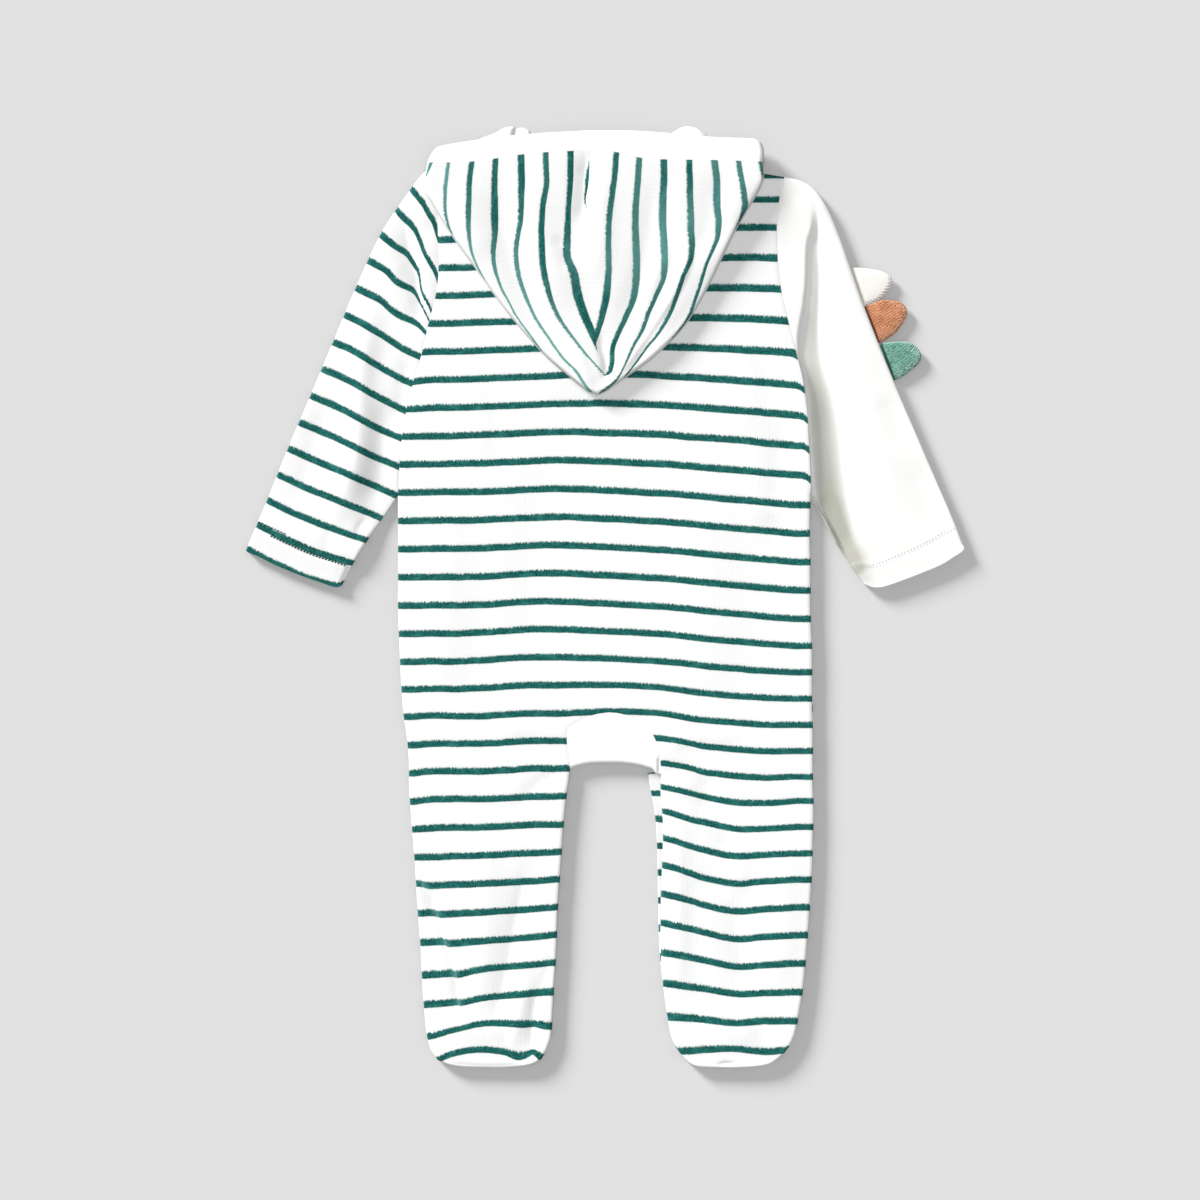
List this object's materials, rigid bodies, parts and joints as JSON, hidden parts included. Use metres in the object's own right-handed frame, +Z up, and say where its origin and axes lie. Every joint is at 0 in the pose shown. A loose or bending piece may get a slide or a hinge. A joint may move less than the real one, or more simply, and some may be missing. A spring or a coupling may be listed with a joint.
{
  "type": "hooded footed baby sleepsuit",
  "caption": "Hooded, footed baby sleepsuit laid flat on its front: striped velour, one plain jersey sleeve with a row of small rounded spikes, hood folded down on the back.",
  "frame": {"origin": "on the surface it lies on, below the middle of the garment's outline", "axes": "+Z up out of the back of the garment, +Y along the body towards the hood, +X towards the plain sleeve with the spikes"},
  "size_m": [0.4596, 0.6025, 0.015],
  "materials": {
    "striped_velour": "soft short pile, white with narrow teal green stripes",
    "white_jersey": "smooth fine knit, matt",
    "cream_rib": "ribbed knit, matt",
    "rust_rib": "ribbed knit, matt",
    "green_rib": "ribbed knit, matt"
  },
  "bodies": {
    "root": {"back": "striped_velour", "front_left": "striped_velour", "front_right": "striped_velour", "front_placket": "white_jersey", "crotch_gusset": "white_jersey", "sleeve_left": "striped_velour", "sleeve_right": "white_jersey", "spike_cream": "cream_rib", "spike_rust": "rust_rib", "spike_green": "green_rib", "hood_left": "striped_velour", "hood_right": "striped_velour", "hood_inner": "white_jersey", "hood_band": "white_jersey", "hood_lining": "white_jersey"}
  },
  "joints": []
}
